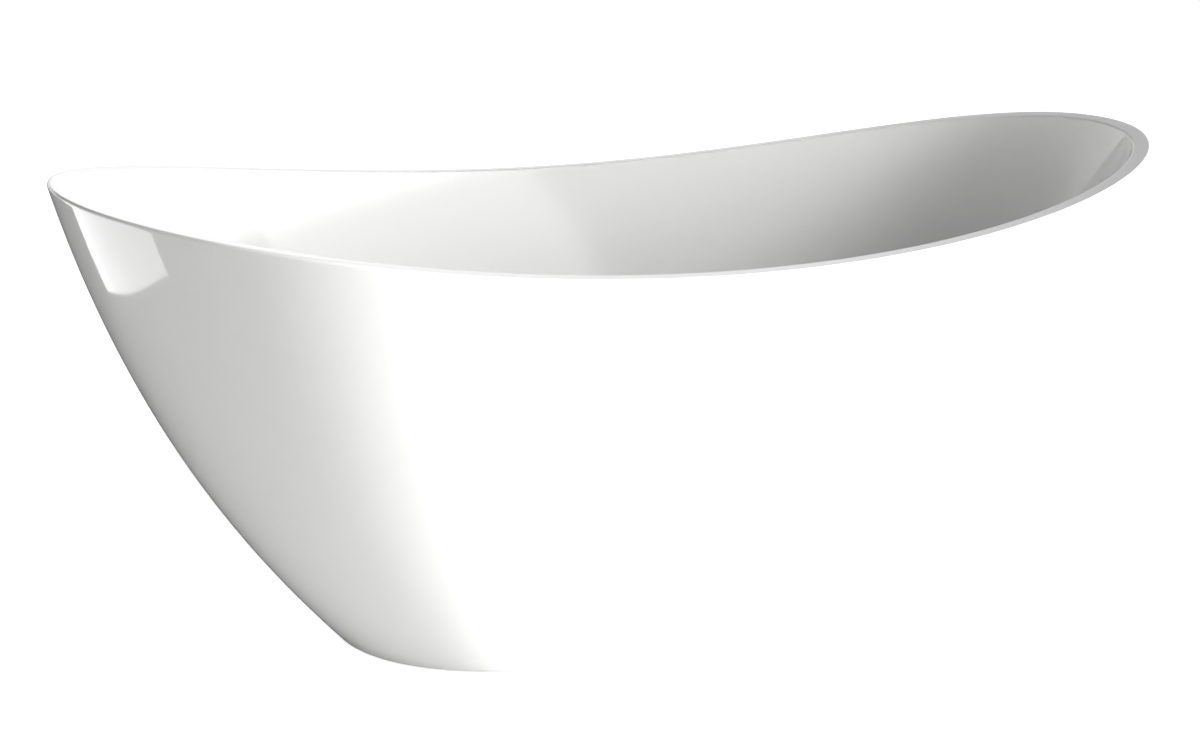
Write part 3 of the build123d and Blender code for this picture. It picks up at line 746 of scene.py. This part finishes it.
def metal_finish(name, tint, smoothest, roughest, scratch):
    """Plated, turned or drawn metal with faint hairlines round it."""
    material, recipe, shader = new_finish(name)
    drift = recipe.drift(scale=30.0, one=lighter(tint, 0.95), other=lighter(tint, 1.04))
    gloss = recipe.gloss(scale=45.0, smoothest=smoothest, roughest=roughest)
    hairlines = recipe.noise(60.0, detail=6, rough=0.7, where=recipe.place((1, 1, 30)))
    recipe.fill(
        shader,
        Base_Color=drift,
        Roughness=gloss,
        Normal=recipe.bump(hairlines, strength=scratch, distance=0.0001),
        Metallic=1.0,
    )
    return material


OWN_FINISHES = {
    "acrylic": acrylic_finish,
    "bonding_resin": resin_finish,
    "plywood": plywood_finish,
    "frame_steel": coated_steel_finish,
    "zinc_steel": zinc_finish,
}
# Colour, smoothest, roughest, fineness of the pebbles, sheen
MOULDED = {
    "nylon": ("nylon", 0.36, 0.55, 800.0, 0.05),
    "rubber": ("rubber", 0.6, 0.85, 520.0, 0.15),
    "waste_plastic": ("pipe", 0.26, 0.42, 900.0, 0.0),
    "nut_plastic": ("nut", 0.34, 0.52, 760.0, 0.0),
}
# Colour, smoothest, roughest, depth of the hairlines
METALS = {
    "chrome": ("chrome", 0.03, 0.09, 0.04),
    "brass": ("brass", 0.2, 0.34, 0.2),
    "spring_steel": ("spring", 0.16, 0.3, 0.15),
}


def make_finish(slot, colours):
    if slot in OWN_FINISHES:
        return OWN_FINISHES[slot](colours)
    make = moulded_finish if slot in MOULDED else metal_finish
    tint, *values = (MOULDED if slot in MOULDED else METALS)[slot]
    return make(slot, getattr(colours, tint), *values)


def finish(slot):
    """The material of a slot in the record, made once."""
    if slot not in bpy.data.materials or not bpy.data.materials[slot].get("made_here"):
        material = make_finish(slot, bpy.context.scene.finish_colours)
        material.name = slot
        material["made_here"] = True
        return material
    return bpy.data.materials[slot]


# -------- shells

JOINT_GAP = 0.02 * MM
SKIRT_UP_STEPS, SKIRT_DOWN_STEPS = 44, 22
WALL_STEPS, BACK_STEPS = 60, 26
LIP_SHARES = (0, 0.7)
RIM_SHARES = (0.1, 0.35, 0.65, 0.9)
FLOOR_SHARES = (0.12, 0.3, 0.5, 0.7, 0.88, 1)
UNDERSIDE_SHARES = (1, 0.7, 0.35)
WALL_START = 1.6


class BATH_OT_skirt(bpy.types.Operator):
    """Skirt that tapers from the rim down to the floor"""

    bl_idname = "bath.skirt"
    bl_label = "Skirt"

    def execute(self, context):
        shape = context.scene.bath_shape
        outer, inner = outside(shape), outside(shape, shape.skirt_wall)
        joint = shape.rim_thick + JOINT_GAP

        def ring_points(turn):
            """Up the outside, over the joint under the rim, and down the inside."""
            low_out = outer.share_at(shape.skirt_bottom)
            low_in = inner.share_at(shape.skirt_bottom)
            top_out, top_in = outer.rim_share(turn, joint), inner.rim_share(turn, joint)
            rise = eased(SKIRT_UP_STEPS)
            up = [outer.at(turn, low_out + (top_out - low_out) * share) for share in rise]
            fall = eased(SKIRT_DOWN_STEPS)
            down = [inner.at(turn, top_in + (low_in - top_in) * share) for share in fall]
            toe = round_corner(down[-2], down[-1], up[0], shape.skirt_edge)
            heel = round_corner(down[-1], up[0], up[1], shape.skirt_edge)
            return up[1:] + down[:-1] + toe + heel

        raw = range(SKIRT_UP_STEPS + 2, SKIRT_UP_STEPS + SKIRT_DOWN_STEPS)
        bm = closed_loft(shape.segments, ring_points, backing=raw)
        finish_piece("skirt", bm, "tub", ["outer_shell"], "acrylic")
        return {"FINISHED"}


class BATH_OT_basin(bpy.types.Operator):
    """Inner shell with its rolled rim, drain hole and overflow hole"""

    bl_idname = "bath.basin"
    bl_label = "Basin"

    def execute(self, context):
        shape = context.scene.bath_shape
        outer, inner, back = outside(shape), hollow(shape), hollow(shape, shape.basin_wall)
        floor = shape.hollow_1[0]

        def on_floor(edge, share, height):
            """Between the edge of the flat floor and the drain hole."""
            angle = math.atan2(edge.y, edge.x)
            hole = Vector((math.cos(angle), math.sin(angle), 0)) * shape.drain_hole
            point = edge.lerp(hole, share)
            return Vector((point.x, point.y, height))

        def ring_points(turn):
            """Round the rim, down the wall to the drain hole, and back up behind it."""
            out_low, out_corner = outer.at_rim(turn, shape.rim_thick), outer.at_rim(turn)
            in_corner, in_low = inner.at_rim(turn), inner.at_rim(turn, 2 * shape.rim_edge)
            outer_edge = round_corner(out_low, out_corner, in_corner, shape.rim_edge)
            inner_edge = round_corner(out_corner, in_corner, in_low, shape.rim_edge)
            lip = [out_low.lerp(outer_edge[0], share) for share in LIP_SHARES]
            top = [outer_edge[-1].lerp(inner_edge[0], share) for share in RIM_SHARES]
            start = inner.rim_share(turn, WALL_START * shape.rim_edge)
            wall = [inner.at(turn, start * (1 - share)) for share in eased(WALL_STEPS)]
            flat = [on_floor(wall[-1], share, floor) for share in FLOOR_SHARES]
            under = floor - shape.basin_wall
            below = [on_floor(wall[-1], share, under) for share in UNDERSIDE_SHARES]
            end = back.rim_share(turn, shape.rim_thick)
            rise = [back.at(turn, end * share) for share in eased(BACK_STEPS)]
            ledge = [rise[-1].lerp(out_low, 0.5)]
            return lip + outer_edge + top + inner_edge + wall + flat + below + rise + ledge

        rings = len(ring_points(0))
        hidden = len(UNDERSIDE_SHARES) + BACK_STEPS + 2
        bm = closed_loft(shape.segments, ring_points, backing=range(rings - hidden, rings))
        basin = finish_piece("basin", bm, "tub", ["basin_shell"], "acrylic")
        cut(basin, overflow_cutter(context.scene.fitting_sizes))
        return {"FINISHED"}


# -------- waste and overflow

HOLE_SIDES, HOLE_CUT = 64, 30 * MM
ROUND_STEPS = 128
HUB_RADIUS, HUB_BORE = 6 * MM, 3.05 * MM
COVER_RINGS = (0.4, 0.8)
SLOTS_EACH_SIDE = 2
MIDDLE_SLOT, SIDE_SLOT = (6.3 * MM, 23 * MM), (5 * MM, 21 * MM)
SLOT_SIDES, SLOT_CUT = 32, 5 * MM
SCREW_HEAD, SCREW_SHANK, SCREW_STEPS = 5.5 * MM, 3 * MM, 64
SCREW_TALL, SCREW_DOME = 2.2 * MM, 0.8
SCREW_END = 4 * MM
SCREW_SLOT = (14 * MM, 1.2 * MM, 2 * MM)
CAP_DEEP, CAP_SIDE, CAP_CHAMFER = 5 * MM, 2.2 * MM, 0.5 * MM
CAP_EDGE_SQUASH = 0.9
DOME_STEPS = 24
NECK_RADIUS, NECK_DEEP = 8 * MM, 5.5 * MM
GUIDE_RADIUS, PIN_BORE = 15.7 * MM, 4.05 * MM


def overflow_frame(sizes):
    """Where the overflow sits on the leaning wall: across, down the wall and inwards."""
    inwards = Vector((0, math.cos(sizes.overflow_lean), math.sin(sizes.overflow_lean)))
    across = Vector((1, 0, 0))
    turn = Matrix((across, inwards.cross(across), inwards)).transposed()
    return Matrix.Translation(sizes.overflow_place) @ turn.to_4x4()


def to_overflow(bm, sizes):
    """Moves a bmesh from the origin to the overflow's place."""
    bmesh.ops.transform(bm, matrix=overflow_frame(sizes), verts=bm.verts)
    return bm


def overflow_cutter(sizes):
    """Round bar through the front wall."""
    bm = bmesh.new()
    bar(bm, HOLE_SIDES, sizes.overflow_hole, HOLE_CUT)
    bmesh.ops.translate(bm, verts=bm.verts, vec=(0, 0, HOLE_CUT / 2))
    return to_overflow(bm, sizes)


class BATH_OT_overflow(bpy.types.Operator):
    """Chromed overflow cover with its slots, and the screw that holds it"""

    bl_idname = "bath.overflow"
    bl_label = "Overflow"

    def execute(self, context):
        sizes = context.scene.fitting_sizes
        cover = self.make_cover(sizes)
        for i in range(-SLOTS_EACH_SIDE, SLOTS_EACH_SIDE + 1):
            start, end = MIDDLE_SLOT if i == 0 else SIDE_SLOT
            cut(cover, self.slot_cutter(sizes, i * sizes.slot_apart, start, end))
        self.make_screw(sizes)
        return {"FINISHED"}

    def make_cover(self, sizes):
        """Disc with a rounded edge, a hollow back and a hub behind its middle."""
        radius, skin = sizes.cover_radius, sizes.cover_skin
        back, top = sizes.cover_back, sizes.cover_top
        profile = [(HUB_BORE, top)] + [(radius * share, top) for share in COVER_RINGS]
        for turn in quarter_turn():
            across, down = skin * (1 - math.sin(turn)), skin * (1 - math.cos(turn))
            profile.append((radius - across, top - down))
        profile += [(radius, back), (radius - skin, back), (radius - skin, top - skin)]
        profile += [(HUB_RADIUS, top - skin), (HUB_RADIUS, sizes.hub_back)]
        profile += [(HUB_BORE, sizes.hub_back)]
        bm = to_overflow(turned(profile, ROUND_STEPS), sizes)
        return finish_piece("overflow_plate", bm, "tub", ["overflow_cover"], "chrome")

    def slot_cutter(self, sizes, across, start, end):
        """Upright slot with round ends, between two distances down from the middle."""
        bm = bmesh.new()
        half = sizes.slot_wide / 2
        bar(bm, SLOT_SIDES, half, SLOT_CUT, Matrix.Rotation(math.pi / SLOT_SIDES, 4, "Z"))
        for vert in bm.verts:
            vert.co.y += end - half if vert.co.y > 0 else start + half
        middle = (across, 0, sizes.cover_top - sizes.cover_skin)
        bmesh.ops.translate(bm, verts=bm.verts, vec=middle)
        return to_overflow(bm, sizes)

    def make_screw(self, sizes):
        """Slotted screw with a domed head."""
        top, peak = sizes.cover_top, sizes.cover_top + SCREW_TALL
        profile = [(0, peak)]
        for turn in quarter_turn(1):
            drop = SCREW_DOME * SCREW_TALL * (1 - math.cos(turn))
            profile.append((SCREW_HEAD * math.sin(turn), peak - drop))
        profile += [(SCREW_HEAD, top), (SCREW_SHANK, top), (SCREW_SHANK, SCREW_END)]
        profile += [(0, SCREW_END)]
        bm = to_overflow(turned(profile, SCREW_STEPS), sizes)
        screw = finish_piece("overflow_fixing", bm, "tub", ["overflow_screw"], "chrome")
        slot = bmesh.new()
        bmesh.ops.create_cube(slot, size=1, matrix=Matrix.Diagonal((*SCREW_SLOT, 1)))
        bmesh.ops.translate(slot, verts=slot.verts, vec=(0, 0, peak))
        cut(screw, to_overflow(slot, sizes))


class BATH_OT_plug(bpy.types.Operator):
    """Domed plug cap with a softly rounded rim and its neck"""

    bl_idname = "bath.plug"
    bl_label = "Plug"

    def execute(self, context):
        sizes = context.scene.fitting_sizes
        low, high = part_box("drain_plug")
        radius, top = high[0], high[2]
        under = top - CAP_DEEP
        edge_top = under + CAP_SIDE
        dome_rise = top - edge_top
        sphere = (radius**2 + dome_rise**2) / (2 * dome_rise)
        edge = sizes.cap_edge
        profile = [(0, top)]
        for i in range(1, DOME_STEPS + 1):
            r = (radius - edge) * i / DOME_STEPS
            profile.append((r, top - sphere + math.sqrt(sphere**2 - r**2)))
        for turn in quarter_turn(1):
            down = edge * (1 - math.cos(turn)) * CAP_EDGE_SQUASH
            profile.append((radius - edge * (1 - math.sin(turn)), edge_top - down))
        profile += [(radius, under + CAP_CHAMFER), (radius - CAP_CHAMFER, under)]
        profile += [(NECK_RADIUS, under), (NECK_RADIUS, under - NECK_DEEP)]
        profile += [(GUIDE_RADIUS, under - NECK_DEEP), (GUIDE_RADIUS, low[2])]
        profile += [(PIN_BORE, low[2]), (PIN_BORE, under - CAP_CHAMFER), (0, under - CAP_CHAMFER)]
        finish_piece("plug_cap", turned(profile, ROUND_STEPS), "plug", ["drain_plug"], "chrome")
        return {"FINISHED"}


# -------- feet

FEET = 4
STUD_STEPS = 40
THREAD_RADIUS = 6 * MM
PIVOT_RADIUS, PIVOT_TIP, PIVOT_CHAMFER = 5 * MM, 4.4 * MM, 0.6 * MM
HEXAGON_LOW, HEXAGON_HIGH = 30.5 * MM, 38.5 * MM
HEXAGON_CORNER, HEXAGON_BEVEL = 9.815 * MM, 0.5 * MM
HEXAGON_TURN = math.radians(30)
CORE_FLARE, CORE_CHAMFER = 0.9 * MM, 1 * MM
THREAD_SINK, THREAD_START, THREAD_STOP = 0.05 * MM, 0.3 * MM, 0.4 * MM
THREAD_CREST = (0.44, 0.56)
THREAD_STEPS = 20
# Steps in from the sole's side and up from the floor, then in and down from its top
SOLE_TREAD = ((4 * MM, 0), (1.6 * MM, 0.4 * MM), (0.6 * MM, 1.4 * MM), (0, 2.4 * MM))
SOLE_LIP = ((0, 2 * MM), (0.5 * MM, 0.4 * MM), (1 * MM, 0))
SOLE_INSIDE, SOLE_FLOOR = 25 * MM, 4 * MM
RIB_STEPS = 4
RIB_DEPTH = 0.022
RIB_MARGIN = 0.1 * MM
SOLE_SHARP = 50


def floor_under(low, high):
    """Point of the floor under the middle of a box."""
    return Vector(((low[0] + high[0]) / 2, (low[1] + high[1]) / 2, 0))


class BATH_OT_feet(bpy.types.Operator):
    """Threaded studs and ribbed rubber soles of the four levelling feet"""

    bl_idname = "bath.feet"
    bl_label = "Feet"

    def execute(self, context):
        sizes = context.scene.fitting_sizes
        for number in range(1, FEET + 1):
            self.make_stud(number, sizes)
            self.make_sole(number, sizes)
        return {"FINISHED"}

    def make_stud(self, number, sizes):
        """Plain pivot, hexagon for the spanner, and a real thread above it."""
        low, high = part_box(f"foot_stud_{number}")
        root = THREAD_RADIUS - sizes.thread_deep
        profile = [(0, low[2]), (PIVOT_TIP, low[2]), (PIVOT_RADIUS, low[2] + PIVOT_CHAMFER)]
        bm = turned(profile + [(PIVOT_RADIUS, HEXAGON_LOW), (0, HEXAGON_LOW)], STUD_STEPS)
        self.add_hexagon(bm)
        append(bm, turned_core(root, HEXAGON_HIGH, high[2]))
        start, stop = HEXAGON_HIGH + THREAD_START, high[2] - THREAD_STOP
        append(bm, thread(root - THREAD_SINK, THREAD_RADIUS, sizes.thread_pitch, start, stop))
        bmesh.ops.translate(bm, verts=bm.verts, vec=floor_under(low, high))
        finish_piece(f"stud_{number}", bm, f"stud_{number}", [f"foot_stud_{number}"], "zinc_steel")

    def add_hexagon(self, bm):
        """Spanner flats round the stud, with softened edges."""
        collar = bar(bm, 6, HEXAGON_CORNER, HEXAGON_HIGH - HEXAGON_LOW)
        turn = Matrix.Rotation(HEXAGON_TURN, 3, "Z")
        bmesh.ops.rotate(bm, verts=collar, cent=ORIGIN, matrix=turn)
        bmesh.ops.translate(bm, verts=collar, vec=(0, 0, (HEXAGON_LOW + HEXAGON_HIGH) / 2))
        edges = list({edge for vert in collar for edge in vert.link_edges})
        soft = {"offset": HEXAGON_BEVEL, "segments": 2, "profile": 0.5}
        bmesh.ops.bevel(bm, geom=edges, affect="EDGES", material=-1, **soft)

    def make_sole(self, number, sizes):
        """Rubber cup with upright ribs round its side."""
        low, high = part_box(f"foot_sole_{number}")
        radius, tall = (high[0] - low[0]) / 2, high[2]
        profile = [(0, 0)] + [(radius - inset, up) for inset, up in SOLE_TREAD]
        profile += [(radius - inset, tall - down) for inset, down in SOLE_LIP]
        profile += [(SOLE_INSIDE, tall), (SOLE_INSIDE, SOLE_FLOOR), (0, SOLE_FLOOR)]
        bm = turned(profile, sizes.sole_ribs * RIB_STEPS)
        for vert in bm.verts:
            if math.hypot(vert.co.x, vert.co.y) > radius - RIB_MARGIN:
                around = math.atan2(vert.co.y, vert.co.x) * sizes.sole_ribs
                vert.co.xy *= 1 - RIB_DEPTH * (0.5 - 0.5 * math.cos(around))
        bmesh.ops.translate(bm, verts=bm.verts, vec=floor_under(low, high))
        body, replaced = f"foot_{number}", [f"foot_sole_{number}"]
        finish_piece(f"sole_{number}", bm, body, replaced, "rubber", sharp=SOLE_SHARP)


def append(bm, other):
    """Joins another bmesh into one, and frees it."""
    mesh = mesh_from("joined", other)
    bm.from_mesh(mesh)
    bpy.data.meshes.remove(mesh)


def turned_core(radius, low, high):
    """Bar inside the thread, flared at its foot and chamfered at its end."""
    profile = [(0, low), (radius + CORE_FLARE, low), (radius, low + CORE_FLARE)]
    profile += [(radius, high - CORE_CHAMFER), (radius - CORE_CHAMFER, high), (0, high)]
    return turned(profile, STUD_STEPS)


def thread(root, crest, pitch, low, high):
    """Helical ridge: a flat-topped section swept round and up by one pitch in each turn."""
    bm = bmesh.new()
    turns = int((high - low - pitch) / pitch)
    corners = [(root, 0, low)]
    corners += [(crest, 0, low + pitch * share) for share in THREAD_CREST]
    corners += [(root, 0, low + pitch)]
    verts = [bm.verts.new(corner) for corner in corners]
    edges = [bm.edges.new(pair) for pair in zip(verts, verts[1:] + verts[:1])]
    face = bm.faces.new(verts)
    bmesh.ops.spin(
        bm,
        geom=verts + edges + [face],
        cent=ORIGIN,
        axis=UP,
        dvec=(0, 0, pitch / THREAD_STEPS),
        angle=math.tau * turns,
        steps=THREAD_STEPS * turns,
        use_merge=False,
    )
    return bm


# -------- finishes on the frame


class BATH_OT_finishes(bpy.types.Operator):
    """Puts each slot's finish on the CAD parts that keep their shape"""

    bl_idname = "bath.finishes"
    bl_label = "Finishes"

    def execute(self, context):
        slots = {part["node"]: part["material_slot"] for part in frame["record"]["subparts"]}
        for name, node in frame["nodes"].items():
            material = finish(slots[name])
            if not node.data.materials:
                node.data.materials.append(material)
            for slot in node.material_slots:
                slot.material = material
        return {"FINISHED"}


# -------- studio

LIGHTS = ("key", "front", "top", "card")
LIT_SPOT = Vector((0, 0, 0.4))
FLOOR_CELLS = 8
FLOOR_IN_MIRRORS = 0.3
GLOW_TINT = (1, 1, 0.995)
HORIZON_TOP, SKY_BOTTOM = 0.22, 0.42
SENSOR_WIDTH = 36


class BATH_OT_stage(bpy.types.Operator):
    """Pale floor, soft light and the camera"""

    bl_idname = "bath.stage"
    bl_label = "Studio"

    def execute(self, context):
        studio = context.scene.studio
        context.scene.view_settings.view_transform = "Standard"
        self.make_floor(studio)
        self.make_sky(context, studio)
        for name in LIGHTS:
            holder = self.make_light(name, getattr(studio, name), getattr(studio, name + "_power"))
            holder.visible_diffuse = name != "card"
        self.make_camera(context, studio)
        return {"FINISHED"}

    def make_floor(self, studio):
        """Floor that glows to the camera only, and is darker in reflections."""
        bm = bmesh.new()
        size = studio.floor_size / 2
        bmesh.ops.create_grid(bm, x_segments=FLOOR_CELLS, y_segments=FLOOR_CELLS, size=size)
        floor = add_object("floor", mesh_from("floor", bm))
        material, recipe, shader = new_finish("studio floor")
        pale = studio.floor_colour
        tint = recipe.drift(scale=1.5, one=pale, other=lighter(pale, 0.99))
        rays = recipe.add("ShaderNodeLightPath").outputs
        mirrored = lighter(pale, FLOOR_IN_MIRRORS)
        recipe.fill(
            shader,
            Base_Color=recipe.mix(rays["Is Glossy Ray"], tint, mirrored),
            Roughness=recipe.gloss(scale=2.0, smoothest=0.7, roughest=0.8),
            Emission_Color=GLOW_TINT,
            Emission_Strength=recipe.times(rays["Is Camera Ray"], studio.floor_glow),
        )
        floor.data.materials.append(material)

    def make_sky(self, context, studio):
        """Dim overhead, bright round the horizon."""
        world = bpy.data.worlds.new("studio")
        world.use_nodes = True
        context.scene.world = world
        recipe = Recipe(world.node_tree)
        up = recipe.part(recipe.add("ShaderNodeTexCoord").outputs["Generated"], "Z")
        share = recipe.add(
            "ShaderNodeMapRange",
            {"interpolation_type": "SMOOTHSTEP"},
            Value=up,
            From_Min=HORIZON_TOP,
            From_Max=SKY_BOTTOM,
            To_Min=studio.horizon,
            To_Max=studio.sky,
        ).outputs["Result"]
        light = world.node_tree.nodes["Background"]
        recipe.fill(light, Color=(1, 1, 1), Strength=share)

    def make_light(self, name, placed, watts):
        """Square soft light that looks at the middle of the bath and isn't seen itself."""
        light = bpy.data.lights.new(name, "AREA")
        light.shape = "SQUARE"
        light.size = placed[3]
        light.energy = watts
        holder = add_object(name, light)
        holder.location = placed[:3]
        ahead = LIT_SPOT - holder.location
        holder.rotation_euler = ahead.to_track_quat("-Z", "Y").to_euler()
        holder.visible_camera = False
        return holder

    def make_camera(self, context, studio):
        yaw, pitch = studio.camera_yaw, studio.camera_pitch
        level_x, level_y = math.sin(yaw), math.cos(yaw)
        ahead = Vector((level_x * math.cos(pitch), level_y * math.cos(pitch), -math.sin(pitch)))
        data = bpy.data.cameras.new("camera")
        data.sensor_width = SENSOR_WIDTH
        data.lens = studio.lens
        data.clip_end = 2 * studio.floor_size
        camera = add_object("camera", data)
        camera.location = Vector(studio.camera_aim) - ahead * studio.camera_away
        camera.rotation_euler = ahead.to_track_quat("-Z", "Y").to_euler()
        context.scene.camera = camera


# -------- panel and registration


class BATH_PT_panel(bpy.types.Panel):
    """Lists the bath's pieces in the order in which they are made"""

    bl_label = "Slipper bath"
    bl_space_type = "VIEW_3D"
    bl_region_type = "UI"
    bl_category = "Bath"

    def draw(self, context):
        for operator in PIECES:
            self.layout.operator(operator.bl_idname)


SETTINGS = {
    "bath_shape": BathShape,
    "fitting_sizes": FittingSizes,
    "finish_colours": FinishColours,
    "studio": StudioSettings,
}
PIECES = [
    BATH_OT_skirt,
    BATH_OT_basin,
    BATH_OT_overflow,
    BATH_OT_plug,
    BATH_OT_feet,
    BATH_OT_finishes,
    BATH_OT_stage,
]


def register():
    for group in SETTINGS.values():
        bpy.utils.register_class(group)
    for name, group in SETTINGS.items():
        setattr(bpy.types.Scene, name, PointerProperty(type=group))
    for operator in [*PIECES, BATH_PT_panel]:
        bpy.utils.register_class(operator)


def unregister():
    for operator in [BATH_PT_panel, *reversed(PIECES)]:
        bpy.utils.unregister_class(operator)
    for name, group in reversed(list(SETTINGS.items())):
        delattr(bpy.types.Scene, name)
        bpy.utils.unregister_class(group)


def main():
    register()
    bpy.ops.bath.skirt()
    bpy.ops.bath.basin()
    bpy.ops.bath.overflow()
    bpy.ops.bath.plug()
    bpy.ops.bath.feet()
    bpy.ops.bath.finishes()
    bpy.ops.bath.stage()


if __name__ == "__main__":
    main()
